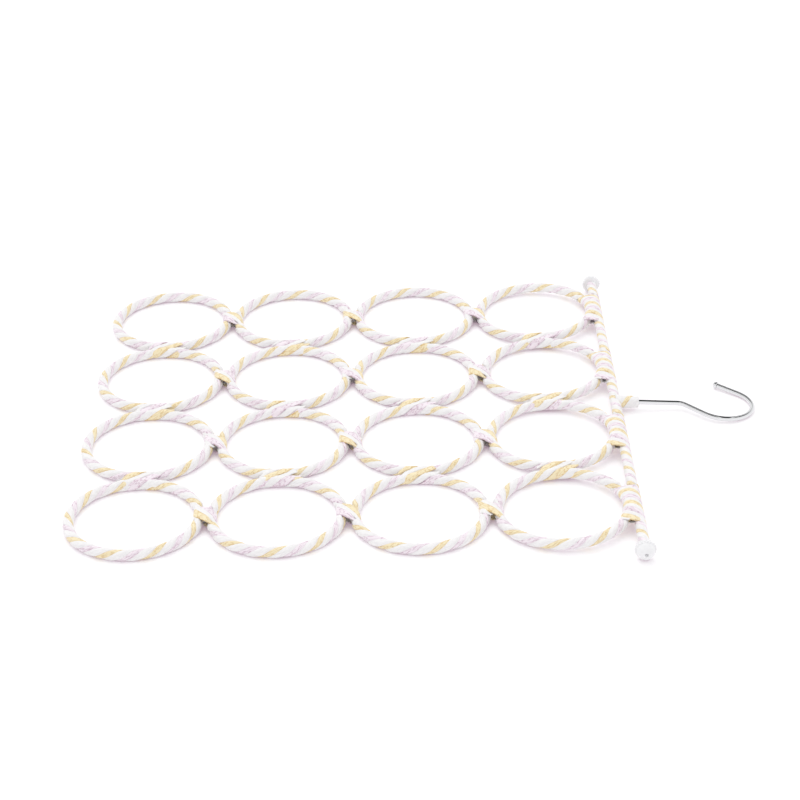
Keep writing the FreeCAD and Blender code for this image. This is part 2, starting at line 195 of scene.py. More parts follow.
# Settings that a user would change
def a_length(name, description, millimetres):
    """A length, given in millimetres."""
    return FloatProperty(name=name, description=description, default=millimetres * MM, unit="LENGTH")


def an_angle(name, description, degrees):
    """An angle, given in degrees."""
    return FloatProperty(name=name, description=description, default=radians(degrees), subtype="ANGLE")


def a_number(name, description, default, low=0.0, high=2.0):
    """A plain number within limits."""
    return FloatProperty(name=name, description=description, default=default, min=low, max=high)


def a_gain(name, description, default):
    """A share by which something grows, or shrinks where it is below nought."""
    return a_number(name, description, default, -0.5, 0.5)


def a_count(name, description, default, low, high):
    """A whole number within limits."""
    return IntProperty(name=name, description=description, default=default, min=low, max=high)


def a_colour(name, description, *display):
    """A colour, given from 0 to 255 as it is displayed."""
    limits = {"subtype": "COLOR", "size": 3, "min": 0, "max": 1}
    return FloatVectorProperty(name=name, description=description, default=srgb(*display), **limits)


class RibbonSettings(bpy.types.PropertyGroup):
    """Ribbon colours and how the ribbons are laid."""

    gold: a_colour("Gold ribbon", "Colour of the gold ribbon", 254, 240, 203)
    white: a_colour("White ribbon", "Colour of the two white ribbons", 252, 251, 251)
    pink: a_colour("Pink ribbon", "Colour of the pale pink ribbon", 253, 243, 250)
    ring_turns: a_count("Turns on a ring", "Times that each ribbon goes round one ring's wire", 9, 3, 30)
    rope_width: a_length("Ribbon width", "Width of a ribbon laid on a ring", 4.1)
    rope_thickness: a_length("Ribbon thickness", "Thickness of the crumpled ribbon on a ring", 1.9)
    lashing_length: a_length("Lashing length", "Length over which two rows are bound", 16)
    lashing_slant: a_number("Lashing slant", "How far a lashing between rows leans, as a slope", 0.6)
    lashing_rake: a_number("Lashing rake", "How far a lashing's front end hangs over, as a slope", 0.6)
    lashing_strands: a_count("Lashing strands", "Ribbons side by side in a lashing between rows", 8, 2, 12)
    lashing_belly: a_length("Lashing belly", "How far the top of a lashing between rows swells", 1.2)
    lashing_gain: a_gain("Lashing whites", "How much fuller the whites are where rings are bound", -0.12)
    side_strands: a_count("Side strands", "Ribbons side by side in a lashing within a row", 6, 2, 12)
    lashing_pitch: a_length("Lashing pitch", "Length of one turn of a ribbon round two rings", 45)
    lashing_width: a_length("Lashing width", "Width of a ribbon where it holds two rings", 4.9)
    lashing_thickness: a_length("Lashing thickness", "Thickness of a ribbon where it holds two rings", 1.2)
    side_length: a_length("Side lashing length", "Length over which two rings of a row are bound", 27)
    side_pitch: a_length("Side lashing pitch", "Length of one turn round two rings of a row", 50)
    crease_depth: a_length("Crease depth", "Depth of the creases crushed into the ribbons", 0.26)
    wander: a_number("Wander", "How far a ribbon strays from an even lay, in turns", 0.02)
    white_gain: a_gain("White gain", "How much fuller the white ribbons are than the others", 0.15)


class BarSettings(bpy.types.PropertyGroup):
    """The close winding on the bar and on the hook's neck."""

    pitch: a_length("Pitch", "Length of bar that one turn of the four ribbons covers", 18.5)
    width: a_length("Ribbon width", "Width of a ribbon on the bar", 4.15)
    thickness: a_length("Ribbon thickness", "Thickness of a ribbon on the bar", 1.3)
    crease_depth: a_length("Crease depth", "Depth of the creases in the ribbons on the bar", 0.18)
    belly: a_length("Lashing belly", "How far the top of a lashing on the bar swells", 2.2)
    lashing_length: a_length("Lashing length", "Length over which a ring is bound to the bar", 40)
    lashing_pitch: a_length("Lashing pitch", "Length of one turn round a ring and the bar", 14.5)
    lashing_width: a_length("Lashing ribbon width", "Width of a ribbon that holds a ring to the bar", 4.4)
    lashing_rake: a_number("Lashing rake", "How far a lashing's front end hangs over, as a slope", 1.0)
    lashing_phase: a_number("Lashing phase", "Turn where gold is in the middle of the first lashing", 0.4)
    white_gain: a_gain("White gain", "How much fuller the white ribbons on the bar are", 0.08)
    lashing_gain: a_gain("Lashing whites", "How much fuller the whites are round a ring and the bar", -0.07)
    neck_pitch: a_length("Neck pitch", "Length of neck that one turn of the ribbons covers", 18)


class CapSettings(bpy.types.PropertyGroup):
    """The end caps of the bar."""

    colour: a_colour("Cap colour", "Colour of the glossy end caps", 252, 252, 253)
    notches: a_count("Notches", "Ribs around the collar of a cap", 22, 6, 60)
    rib_height: a_length("Rib height", "How far a rib stands out of the collar", 0.85)


class StageSettings(bpy.types.PropertyGroup):
    """Camera, floor and light."""

    azimuth: an_angle("Azimuth", "Camera's turn about the upright", -0.2)
    elevation: an_angle("Elevation", "Camera's height above the horizon", 29.5)
    roll: an_angle("Roll", "Camera's lean about its line of sight", 1.3)
    distance: a_length("Distance", "Camera's distance from its target", 1390)
    target: FloatVectorProperty(
        name="Target", description="Point on the floor that the camera looks at",
        size=3, subtype="TRANSLATION", default=(-0.0148, 0.0203, 0.0),
    )
    lens: a_number("Lens", "Focal length on a 36 mm sensor, in millimetres", 90, 20, 300)
    floor: a_colour("Floor", "Colour of the pale floor", 252, 250, 252)
    key: a_number("Key light", "Strength of the soft light from above and behind", 0.72)
    fill: a_number("Fill light", "Strength of the light that comes from all round", 0.845)


# Node helpers
class Term:
    """A socket that gives a number, for plain sums."""

    def __init__(self, recipe, socket):
        self.recipe = recipe
        self.socket = socket

    def __add__(self, other):
        return self.recipe.math("ADD", self, other)

    def __sub__(self, other):
        return self.recipe.math("SUBTRACT", self, other)

    def __rsub__(self, other):
        return self.recipe.math("SUBTRACT", other, self)

    def __mul__(self, other):
        return self.recipe.math("MULTIPLY", self, other)

    def __truediv__(self, other):
        return self.recipe.math("DIVIDE", self, other)

    __radd__ = __add__
    __rmul__ = __mul__


class Recipe:
    """Adds nodes to one tree and wires them, one step to a line."""

    def __init__(self, tree):
        self.tree = tree

    def put(self, socket, value):
        """Links a socket to another, or sets its value."""
        if isinstance(value, Term):
            value = value.socket
        if isinstance(value, bpy.types.NodeSocket):
            self.tree.links.new(value, socket)
        else:
            socket.default_value = value

    def add(self, kind, sockets=None, **settings):
        """A node with its settings and its input sockets filled."""
        node = self.tree.nodes.new(kind)
        for name, value in settings.items():
            setattr(node, name, value)
        for key, value in (sockets or {}).items():
            self.put(node.inputs[key], value)
        return node

    def made(self, kind, sockets=None, **settings):
        """The first output of a new node."""
        return Term(self, self.add(kind, sockets, **settings).outputs[0])

    def math(self, operation, *values, clamp=False):
        """One sum on plain numbers."""
        return self.made("ShaderNodeMath", dict(enumerate(values)), operation=operation, use_clamp=clamp)

    def line(self, value, slope, start, **options):
        """A value times a slope, on top of a start."""
        return self.math("MULTIPLY_ADD", value, slope, start, **options)

    def weigh(self, values, shares):
        """Values added up by their shares."""
        total = values[0] * shares[0]
        for value, share in zip(values[1:], shares[1:]):
            total = total + value * share
        return total

    def vector(self, operation, *values):
        """One sum on vectors; a scale takes its factor last."""
        keys = (0, 3) if operation == "SCALE" else range(len(values))
        node = self.add("ShaderNodeVectorMath", dict(zip(keys, values)), operation=operation)
        return Term(self, node.outputs["Value" if operation == "DOT_PRODUCT" else "Vector"])

    def between(self, value, low, high):
        """A value held between two others."""
        return self.math("MINIMUM", self.math("MAXIMUM", value, low), high)

    def mix(self, share, low, high):
        """A value that share, from 0 to 1, takes from one to another."""
        return self.line(share, high - low, low)

    def tint(self, share, low, high):
        """A colour that share, from 0 to 1, takes from one to another."""
        node = self.add("ShaderNodeMix", {0: share}, data_type="RGBA", blend_type="MIX")
        colours = [socket for socket in node.inputs if socket.type == "RGBA"]
        self.put(colours[0], low)
        self.put(colours[1], high)
        return next(socket for socket in node.outputs if socket.type == "RGBA")

    def sight(self):
        """One for rays that see a surface straight, in a mirror or through glass, and nought for others."""
        rays = self.add("ShaderNodeLightPath").outputs
        bent = self.math("MAXIMUM", rays["Is Glossy Ray"], rays["Is Transmission Ray"])
        return self.math("MAXIMUM", rays["Is Camera Ray"], bent)

    def join(self, x, y, z):
        """A vector from three numbers."""
        return self.made("ShaderNodeCombineXYZ", {"X": x, "Y": y, "Z": z})

    def held(self, name):
        """A number that the path's points carry."""
        node = self.add("GeometryNodeInputNamedAttribute", {"Name": name}, data_type="FLOAT")
        return Term(self, node.outputs["Attribute"])

    def kept(self, geometry, kind, name, value):
        """Keeps a value on the points through later steps; gives the geometry and the kept value."""
        node = self.add("GeometryNodeCaptureAttribute", {"Geometry": geometry}, domain="POINT")
        node.capture_items.new(kind, name)
        self.put(node.inputs[name], value)
        return node.outputs["Geometry"], Term(self, node.outputs[name])

    def noise(self, vector, scale, detail=2.0):
        """Noise from minus one to one."""
        node = self.add("ShaderNodeTexNoise", {"Vector": vector, "Scale": scale, "Detail": detail})
        return self.line(node.outputs[0], 2.0, -1.0)


def new_tree(name, kind, inputs, outputs):
    """A node tree with named inputs and outputs; gives its recipe, its inputs and its outputs."""
    tree = bpy.data.node_groups.new(name, kind)
    if kind == "GeometryNodeTree":
        tree.is_modifier = True
    for label, sort, default in inputs:
        socket = tree.interface.new_socket(label, in_out="INPUT", socket_type=f"NodeSocket{sort}")
        if default is not None:
            socket.default_value = default
    for label, sort in outputs:
        tree.interface.new_socket(label, in_out="OUTPUT", socket_type=f"NodeSocket{sort}")
    recipe = Recipe(tree)
    sources = recipe.add("NodeGroupInput").outputs
    given = {socket.name: Term(recipe, socket) for socket in sources if socket.name}
    return recipe, given, recipe.add("NodeGroupOutput").inputs


def winding_tree():
    """Ribbons wound left-handed round a path of one or two cores, tucked in and cut off at its ends."""
    r, given, out = new_tree(
        "Ribbon Winding",
        "GeometryNodeTree",
        [
            ("Path", "Geometry", None),
            ("Up", "Vector", (0.0, 0.0, 1.0)),
            ("Strands", "Int", 4),
            ("Ribbon Width", "Float", 4.0 * MM),
            ("Ribbon Thickness", "Float", 1.5 * MM),
            ("Arch", "Float", 90.0),
            ("White Gain", "Float", 0.15),
            ("Belly", "Float", 0.0),
            ("End Slant", "Float", 0.0),
            ("End Rake", "Float", 0.0),
            ("Overrun", "Float", 0.0),
            ("Tuck Hold", "Float", 0.0),
            ("Tuck Run", "Float", 2.0 * MM),
            ("Tuck Depth", "Float", 0.0),
            ("Tuck Thinning", "Float", 0.2),
            ("Crease Depth", "Float", 0.2 * MM),
            ("Wander", "Float", 0.02),
            ("Seed", "Float", 0.0),
            ("First Ribbon", "Material", None),
            ("Second Ribbon", "Material", None),
            ("Third Ribbon", "Material", None),
            ("Fourth Ribbon", "Material", None),
        ],
        [("Geometry", "Geometry")],
    )
    curve = r.made("GeometryNodeMeshToCurve", {"Mesh": given["Path"]})
    copies = r.add(
        "GeometryNodeDuplicateElements", {"Geometry": curve, "Amount": given["Strands"]}, domain="SPLINE"
    )
    strand = copies.outputs["Duplicate Index"]
    path, lane = r.kept(copies.outputs["Geometry"], "FLOAT", "Lane", strand)

    # Place of each strand on a loop with flat sides round both cores
    half_span = r.held("half_span")
    core = r.held("core")
    along_path = r.add("GeometryNodeSplineParameter").outputs["Length"]
    drift = r.noise(r.join(along_path, lane * DRIFT_STEP, given["Seed"]), DRIFT_RATE, 1.0)
    share = lane / given["Strands"]
    turn = r.held("turn") + share + drift * given["Wander"]
    part = r.math("FRACT", turn)
    span = half_span * 2.0
    half_round = core * pi
    girth = (span + half_round) * 2.0
    first_bend = part * girth - half_span
    under = first_bend - half_round
    second_bend = under - span
    back = second_bend - half_round
    angle = r.between(first_bend / core, 0.0, pi)
    angle = angle + r.between(second_bend / core, 0.0, pi)
    middle = r.between(first_bend + half_span, 0.0, half_span)
    middle = middle - r.between(under, 0.0, span)
    middle = middle + r.between(back, 0.0, half_span)

    # Room left before the slanted ends, and the tuck there
    lateral = r.line(r.math("SINE", angle), core, middle)
    height = r.math("COSINE", angle) * core
    lean = lateral * given["End Slant"]
    lean = lean - height * given["End Rake"]
    room_ahead = r.held("room_ahead") + lean
    room_behind = r.held("room_behind") - lean
    room = r.math("MINIMUM", room_ahead, room_behind)
    open_from = given["Tuck Hold"] + given["Tuck Run"]
    tuck = r.made(
        "ShaderNodeMapRange",
        {"Value": room, "From Min": given["Tuck Hold"], "From Max": open_from, "To Min": 1.0, "To Max": 0.0},
        interpolation_type="SMOOTHSTEP",
    )
    swell = r.noise(r.join(lane * SWELL_STEP, along_path, given["Seed"]), SWELL_RATE, 1.0)
    reach = core + swell * SWELL_DEPTH
    reach = reach - tuck * given["Tuck Depth"]

    # Swollen top of a full lashing
    bearing = part * tau
    wide = half_span + reach
    belly = given["Belly"] * r.line(tuck, -BELLY_LOSS, 1.0)
    tall = reach + belly
    swollen = r.math("GREATER_THAN", r.math("COSINE", bearing), 0.0)
    swollen = swollen * r.math("GREATER_THAN", given["Belly"], 0.0)
    flat = (r.math("SINE", angle), r.math("COSINE", angle))
    full = (r.math("SINE", bearing), r.math("COSINE", bearing))
    flat_x = r.line(flat[0], reach, middle)
    x = r.mix(swollen, flat_x, full[0] * wide)
    z = r.mix(swollen, flat[1] * reach, full[1] * tall)
    lean_x = r.mix(swollen, flat[0], full[0] * tall)
    lean_z = r.mix(swollen, flat[1], full[1] * wide)
    tangent = r.made("GeometryNodeInputTangent")
    up = given["Up"]
    aside = r.vector("NORMALIZE", r.vector("CROSS_PRODUCT", up, tangent))
    outward = r.vector("ADD", r.vector("SCALE", aside, lean_x), r.vector("SCALE", up, lean_z))
    outward = r.vector("NORMALIZE", outward)
    step = r.vector("ADD", r.vector("SCALE", aside, x), r.vector("SCALE", up, z))
    on_path = r.made("GeometryNodeInputPosition")
    place = r.vector("ADD", on_path, step)
    vectors = {"On Path": on_path, "Aside": aside, "Tangent": tangent, "Outward": outward, "Place": place}
    for name in list(vectors):
        path, vectors[name] = r.kept(path, "VECTOR", name, vectors[name])
    path, tuck = r.kept(path, "FLOAT", "Tuck", tuck)
    path, room = r.kept(path, "FLOAT", "Room", room)
    past_end = r.math("LESS_THAN", room, given["Overrun"] * -1.0)
    outward, place = vectors["Outward"], vectors["Place"]
    strands = r.made("GeometryNodeSetPosition", {"Geometry": path, "Position": place})
    strands = r.made("GeometryNodeSetCurveNormal", {"Curve": strands, "Normal": outward}, mode="FREE")
    strands = r.made(
        "GeometryNodeDeleteGeometry", {"Geometry": strands, "Selection": past_end}, domain="POINT"
    )
    length = r.add("GeometryNodeSplineParameter").outputs["Length"]
    strands, along = r.kept(strands, "FLOAT", "Along", length)
    breadth = r.noise(r.join(along, lane * BREADTH_STEP, given["Seed"]), BREADTH_RATE, 1.0)
    breadth = r.line(breadth, BREADTH_SPREAD, 1.0)
    fuller = r.line(r.math("MODULO", lane, 2.0), 2.0, -1.0)
    breadth = breadth * r.line(fuller, given["White Gain"], 1.0)
    thinned = 1.0 - tuck * given["Tuck Thinning"]
    breadth = breadth * thinned

    # Arched cross-section of a ribbon
    ring = r.made("GeometryNodeCurvePrimitiveCircle", {"Resolution": SECTION_POINTS, "Radius": 1.0})
    spot = r.add("ShaderNodeSeparateXYZ", {0: r.made("GeometryNodeInputPosition")}).outputs
    ring, across = r.kept(ring, "FLOAT", "Across", spot["Y"])
    side = spot["Y"] * (given["Ribbon Width"] * 0.5)
    drop = given["Arch"] * (side * side)
    rise = spot["X"] * (given["Ribbon Thickness"] * 0.5)
    corner = r.join(rise - drop, side, 0.0)
    section = r.made("GeometryNodeSetPosition", {"Geometry": ring, "Position": corner})
    ribbons = r.made(
        "GeometryNodeCurveToMesh",
        {"Curve": strands, "Profile Curve": section, "Scale": breadth, "Fill Caps": True},
    )

    # Creases along the ribbon
    lay = r.line(lane, CREASE_STEP, given["Seed"])
    grain = r.join(along * CREASE_RATE, across * CREASE_BREADTH, lay)
    crease = r.noise(grain, 1.0, 3.0)
    lift = r.vector("SCALE", outward, crease * given["Crease Depth"])
    ribbons = r.made("GeometryNodeSetPosition", {"Geometry": ribbons, "Offset": lift})

    # Straight cut at both ends of the path, slanted to the side and raked upwards
    spot = r.made("GeometryNodeInputPosition")
    off_path = r.vector("SUBTRACT", spot, vectors["On Path"])
    sideways = r.vector("DOT_PRODUCT", off_path, vectors["Aside"])
    upwards = r.vector("DOT_PRODUCT", off_path, up)
    ahead = r.vector("DOT_PRODUCT", r.vector("SUBTRACT", spot, place), vectors["Tangent"])
    ahead = ahead - sideways * given["End Slant"]
    ahead = ahead + upwards * given["End Rake"]
    over_far = r.math("MAXIMUM", ahead - r.held("room_ahead"), 0.0)
    astern = ahead * -1.0
    over_near = r.math("MAXIMUM", astern - r.held("room_behind"), 0.0)
    trim = r.vector("SCALE", vectors["Tangent"], over_near - over_far)
    ribbons = r.made("GeometryNodeSetPosition", {"Geometry": ribbons, "Offset": trim})

    ribbons = r.made("GeometryNodeSetShadeSmooth", {"Geometry": ribbons})
    for name, value in (("along", along), ("across", across), ("lane", lane)):
        stored = {"Geometry": ribbons, "Name": name, "Value": value}
        ribbons = r.made("GeometryNodeStoreNamedAttribute", stored, data_type="FLOAT")
    ribbons = r.made("GeometryNodeRealizeInstances", {"Geometry": ribbons})
    for index, label in enumerate(("First", "Second", "Third", "Fourth")):
        mine = r.math("COMPARE", r.math("MODULO", lane, 4.0), float(index), 0.4)
        finish = {"Geometry": ribbons, "Selection": mine, "Material": given[f"{label} Ribbon"]}
        ribbons = r.made("GeometryNodeSetMaterial", finish)
    r.put(out["Geometry"], ribbons)
    return r.tree


def rib_tree():
    """Ribs round a cap's collar."""
    r, given, out = new_tree(
        "Collar Ribs",
        "GeometryNodeTree",
        [
            ("Collar", "Geometry", None),
            ("Count", "Int", 22),
            ("Radius", "Float", 6.3 * MM),
            ("Rib Height", "Float", 0.5 * MM),
            ("Rib Length", "Float", 3.0 * MM),
            ("Rib Share", "Float", 0.3),
            ("Centre", "Vector", (0.0, 0.0, 0.0)),
            ("Finish", "Material", None),
        ],
        [("Geometry", "Geometry")],
    )
    circle = {"Resolution": given["Count"], "Radius": given["Radius"]}
    seats = r.made("GeometryNodeCurvePrimitiveCircle", circle)
    rib = r.made("GeometryNodeMeshUVSphere", {"Segments": 10, "Rings": 8, "Radius": 1.0})
    spacing = given["Radius"] * tau / given["Count"]
    half_width = spacing * given["Rib Share"]
    size = r.join(given["Rib Height"], half_width, given["Rib Length"] * 0.5)
    seat = r.made("GeometryNodeInputPosition")
    turned = r.made("FunctionNodeAlignRotationToVector", {"Vector": seat}, axis="X")
    spread = {"Points": seats, "Instance": rib, "Rotation": turned, "Scale": size}
    ribs = r.made("GeometryNodeInstanceOnPoints", spread)
    laid = {"Geometry": ribs, "Rotation": (pi / 2, 0.0, 0.0), "Translation": given["Centre"]}
    both = r.add("GeometryNodeJoinGeometry")
    r.put(both.inputs[0], r.made("GeometryNodeTransform", laid))
    r.put(both.inputs[0], given["Collar"])
    real = r.made("GeometryNodeRealizeInstances", {"Geometry": both.outputs[0]})
    smooth = r.made("GeometryNodeSetShadeSmooth", {"Geometry": real})
    done = r.made("GeometryNodeSetMaterial", {"Geometry": smooth, "Material": given["Finish"]})
    r.put(out["Geometry"], done)
    return r.tree


def tree_of(maker):
    """A tree that is made once and then used again."""
    names = {
        winding_tree: "Ribbon Winding",
        rib_tree: "Collar Ribs",
        crinkle_group: "Ribbon Crinkle",
        surface_group: "Hard Surface Wear",
    }
    return bpy.data.node_groups.get(names[maker]) or maker()


def settled(piece, tree, values):
    """Runs a tree on a piece and leaves the result as its plain mesh."""
    modifier = piece.modifiers.new(tree.name, "NODES")
    modifier.node_group = tree
    keys = {item.name: item.identifier for item in tree.interface.items_tree if item.item_type == "SOCKET"}
    for label, value in values.items():
        modifier[keys[label]] = value
    bpy.context.view_layer.update()
    graph = bpy.context.evaluated_depsgraph_get()
    finished = piece.evaluated_get(graph)
    made = bpy.data.meshes.new_from_object(finished, preserve_all_data_layers=True, depsgraph=graph)
    piece.modifiers.remove(modifier)
    wire = piece.data
    piece.data = made
    made.name = piece.name
    bpy.data.meshes.remove(wire)
    return piece


def new_piece(name, mesh):
    """An object at the origin with its place in its mesh."""
    piece = bpy.data.objects.new(name, mesh)
    bpy.context.scene.collection.objects.link(piece)
    return piece


# Materials
def crinkle_group():
    """Colour, roughness and height of a crushed ribbon by its own length and breadth, with painted shade at
    folds and edges.
    """
    r, given, out = new_tree(
        "Ribbon Crinkle",
        "ShaderNodeTree",
        [
            ("Ribbon Colour", "Color", (0.8, 0.8, 0.8, 1.0)),
            ("Streak And Shade Colour", "Color", (0.5, 0.5, 0.5, 1.0)),
            ("Streak And Shade Amount", "Float", 0.5),
            ("Fibre Scale", "Float", 1.0),
        ],
        [("Colour", "Color"), ("Roughness", "Float"), ("Height", "Float")],
    )
    carried = [r.add("ShaderNodeAttribute", attribute_name=name) for name in ("along", "across", "lane")]
    along, across, lane = (Term(r, node.outputs["Fac"]) for node in carried)
    shift = lane * LANE_SHIFT

    def spot(rates):
        return r.join(along * rates[0], across * rates[1], shift)

    streak = r.noise(r.vector("SCALE", spot(STREAK), given["Fibre Scale"]), 1.0, 3.0)
    # Fold lines and a ribbon's edges darken its colour as painted shade, in its creases and where it dips
    # between strands
    fold = r.noise(spot(FOLD), 1.0, 1.5)
    line = r.math("SUBTRACT", 1.0, r.math("ABSOLUTE", fold) * FOLD_SHARPNESS, clamp=True)
    edge_shade = r.math("POWER", r.math("ABSOLUTE", across), EDGE_SHARPNESS)
    fibre = r.noise(spot(FIBRE), 1.0, 2.0)
    shade = r.weigh((streak, line, edge_shade, fibre), SHADE_SHARES)
    shade = r.math("MULTIPLY", shade, given["Streak And Shade Amount"], clamp=True)
    r.put(out["Colour"], r.tint(shade, given["Ribbon Colour"], given["Streak And Shade Colour"]))
    r.put(out["Roughness"], r.line(streak, 0.1, 0.5))
    r.put(out["Height"], r.weigh((streak, line, fibre), HEIGHT_SHARES))
    return r.tree


def new_material(name):
    """A material with its recipe and its Principled shader."""
    material = bpy.data.materials.new(name)
    material.use_nodes = True
    return material, Recipe(material.node_tree), material.node_tree.nodes["Principled BSDF"]


def ribbon_material(name, colour, fold, amount, fibre):
    """Crushed satin ribbon."""
    found = bpy.data.materials.get(name)
    if found:
        return found
    material, r, shader = new_material(name)
    crinkle = r.add(
        "ShaderNodeGroup",
        {
            "Ribbon Colour": (*colour, 1.0),
            "Streak And Shade Colour": (*fold, 1.0),
            "Streak And Shade Amount": amount,
            "Fibre Scale": fibre,
        },
        node_tree=tree_of(crinkle_group),
    ).outputs
    bump = r.made("ShaderNodeBump", {"Height": crinkle["Height"], "Strength": 0.5, "Distance": 0.25 * MM})
    r.put(shader.inputs["Base Color"], crinkle["Colour"])
    r.put(shader.inputs["Roughness"], crinkle["Roughness"])
    r.put(shader.inputs["Normal"], bump)
    shader.inputs["Sheen Weight"].default_value = 0.15
    shader.inputs["Sheen Roughness"].default_value = 0.4
    shader.inputs["Specular IOR Level"].default_value = 0.35
    material.diffuse_color = (*colour, 1.0)
    return material


def ribbons():
    """The gold, white and pink ribbon materials."""
    look = bpy.context.scene.hanger_ribbons
    # Each second colour is the darker tone of streaks and fibres, and of the painted shade in folds and
    # along edges
    gold = ribbon_material("ribbon_gold", look.gold, srgb(219, 181, 112), amount=0.85, fibre=1.0)
    white = ribbon_material("ribbon_white", look.white, srgb(238, 233, 237), amount=0.5, fibre=0.9)
    pink = ribbon_material("ribbon_pink", look.pink, srgb(194, 152, 177), amount=0.75, fibre=1.2)
    return gold, white, pink


def surface_group():
    """Fine scratches, smudges and a mask for worn spots on hard pieces."""
    r, given, out = new_tree(
        "Hard Surface Wear",
        "ShaderNodeTree",
        [
            ("Grain Scale", "Float", 400.0),
            ("Smudge Scale", "Float", 60.0),
            ("Base Roughness", "Float", 0.1),
            ("Roughness Spread", "Float", 0.05),
        ],
        [("Roughness", "Float"), ("Height", "Float"), ("Mask", "Float")],
    )
    spot = r.add("ShaderNodeTexCoord").outputs["Object"]
    smudge = r.noise(spot, given["Smudge Scale"], 3.0)
    grain = r.noise(spot, given["Grain Scale"], 4.0)
    r.put(out["Roughness"], r.line(smudge, given["Roughness Spread"], given["Base Roughness"]))
    r.put(out["Height"], r.weigh((grain, smudge), WEAR_SHARES))
    r.put(out["Mask"], r.line(grain, 0.5, 0.5, clamp=True))
    return r.tree


def hard_material(name, colour, worn, metallic, roughness, spread, grain, bump_depth):
    """Metal or moulded plastic with fine wear."""
    found = bpy.data.materials.get(name)
    if found:
        return found
    material, r, shader = new_material(name)
    wear = r.add(
        "ShaderNodeGroup",
        {"Grain Scale": grain, "Base Roughness": roughness, "Roughness Spread": spread},
        node_tree=tree_of(surface_group),
    ).outputs
    bump = r.made("ShaderNodeBump", {"Height": wear["Height"], "Strength": 0.3, "Distance": bump_depth})
    r.put(shader.inputs["Base Color"], r.tint(wear["Mask"], (*colour, 1.0), (*worn, 1.0)))
    r.put(shader.inputs["Roughness"], wear["Roughness"])
    r.put(shader.inputs["Normal"], bump)
    r.put(shader.inputs["Metallic"], metallic)
    material.diffuse_color = (*colour, 1.0)
    return material


# Paths that the ribbons are wound on
def wound(name, runs, up, values):
    """A piece of ribbons wound on runs of points; each point carries what the winding reads there."""
    mesh = bpy.data.meshes.new(name)
    points, edges = [], []
    for run in runs:
        first = len(points)
        points += [step["at"] for step in run]
        edges += [(first + k, first + k + 1) for k in range(len(run) - 1)]
    mesh.from_pydata(points, edges, [])
    steps = [step for run in runs for step in run]
    for key in ("turn", "half_span", "core", "room_ahead", "room_behind"):
        held = mesh.attributes.new(key, "FLOAT", "POINT")
        held.data.foreach_set("value", [step[key] for step in steps])
    piece = new_piece(name, mesh)
    gold, white, pink = ribbons()
    look = bpy.context.scene.hanger_ribbons
    settings = {
        "Up": up,
        "Crease Depth": look.crease_depth,
        "Wander": look.wander,
        "White Gain": look.white_gain,
        "First Ribbon": gold,
        "Second Ribbon": white,
        "Third Ribbon": pink,
        "Fourth Ribbon": white,
    }
    settings.update(values)
    return settled(piece, tree_of(winding_tree), settings)


def dressed(piece, body, node):
    """Joins a finished piece to its body in place of a solid."""
    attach(piece, body)
    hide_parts(node)


def ring_frame(row, column):
    """Middle of a ring, its directions towards the hook and along the bar, and its upright."""
    near = JOINTS[f"roll_{row}"]
    far = JOINTS[f"fold_{row + 1}"] if row < ROWS[-1] else near - Vector((2 * RING_RADIUS, 0, 0))
    towards = (near - far).normalized()
    middle = (near + far) / 2
    middle.y = box_middle(f"ring_wire_{row}{column}").y
    return middle, towards, towards.cross(ALONG_BAR)


def ring_run(middle, towards, start, end, phase, turns, core):
    """A ring's wire from one lashing to the next, and on for a tuck under both."""
    low, high = start - TUCK / RING_RADIUS, end + TUCK / RING_RADIUS
    count = ceil((high - low) * RING_RADIUS / RING_STEP)
    run = []
    for k in range(count + 1):
        bearing = low + (high - low) * k / count
        run.append(
            {
                "at": middle + RING_RADIUS * (cos(bearing) * towards + sin(bearing) * ALONG_BAR),
                "turn": turns * bearing / tau + phase,
                "core": core,
                "half_span": 0.0,
                "room_ahead": (high - bearing) * RING_RADIUS,
                "room_behind": (bearing - low) * RING_RADIUS,
            }
        )
    return run


def straight_run(middle, direction, half, phase, pitch, core, half_span, spare, spacing, shift=None):
    """A length of winding; core, half_span and shift are numbers or rules of the place along it."""
    count = ceil(2 * (half + spare) / spacing)
    run = []
    for k in range(count + 1):
        place = (half + spare) * (2 * k / count - 1)
        run.append(
            {
                "at": middle + direction * place + (shift(place) if shift else Vector()),
                "turn": place / pitch + phase,
                "core": core(place) if callable(core) else core,
                "half_span": half_span(place) if callable(half_span) else half_span,
                "room_ahead": half - place,
                "room_behind": place + half,
            }
        )
    return run


def row_gap(row):
    """Half the distance between the two wires that a lashing between rows holds."""
    return (JOINTS[f"fold_{row}"] - JOINTS[f"roll_{row}"]).length / 2


def spread_of(place):
    """How far a ring's wire bends away from its tangent at a place along it."""
    return RING_RADIUS - sqrt(RING_RADIUS**2 - place**2)


